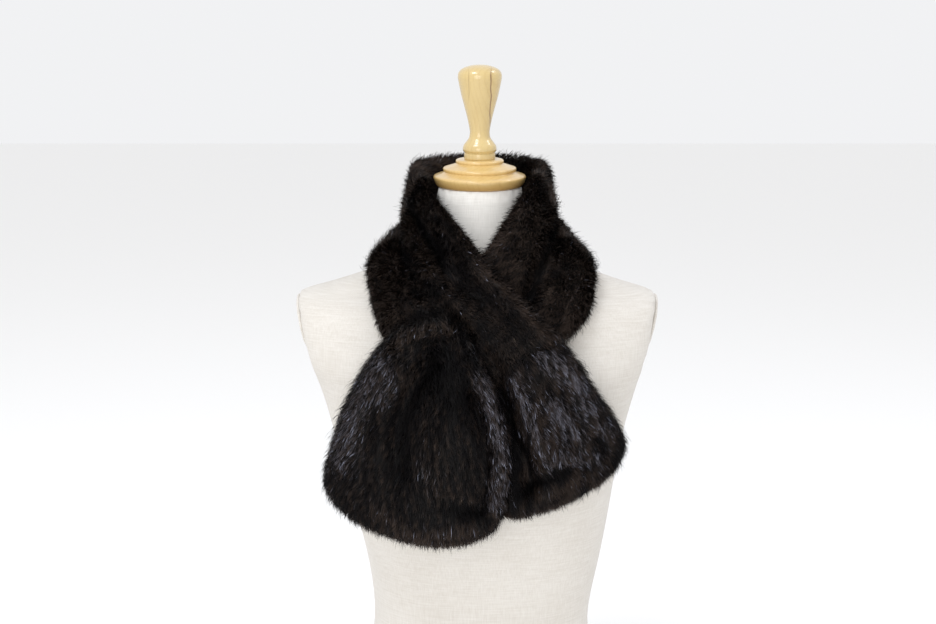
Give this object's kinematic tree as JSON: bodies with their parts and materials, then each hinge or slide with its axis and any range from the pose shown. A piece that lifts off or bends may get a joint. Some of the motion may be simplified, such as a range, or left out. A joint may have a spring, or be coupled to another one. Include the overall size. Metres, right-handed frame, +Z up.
{
  "type": "fur scarf on a limbless dress form",
  "caption": "Dark fur scarf with one end pulled through a slit in the other, worn on a linen-covered limbless dress form with a turned wooden cap and knob.",
  "frame": {"origin": "middle of the dress form's flat underside", "axes": "+Z up, -Y the way the form faces, +X towards the form's left hand side (the image's right)"},
  "size_m": [0.3774, 0.2774, 0.7623],
  "materials": {
    "linen": "matt woven",
    "turned_wood": "varnished",
    "dark_fur": "dense fur with glossy guard hairs"
  },
  "bodies": {
    "root": {"torso": "linen", "arm_plate_left": "linen", "arm_plate_right": "linen", "neck_cap": "turned_wood", "knob": "turned_wood", "under_stretch": "dark_fur", "neck_stretch": "dark_fur", "over_stretch": "dark_fur", "over_end": "dark_fur", "through_end": "dark_fur"}
  },
  "joints": []
}
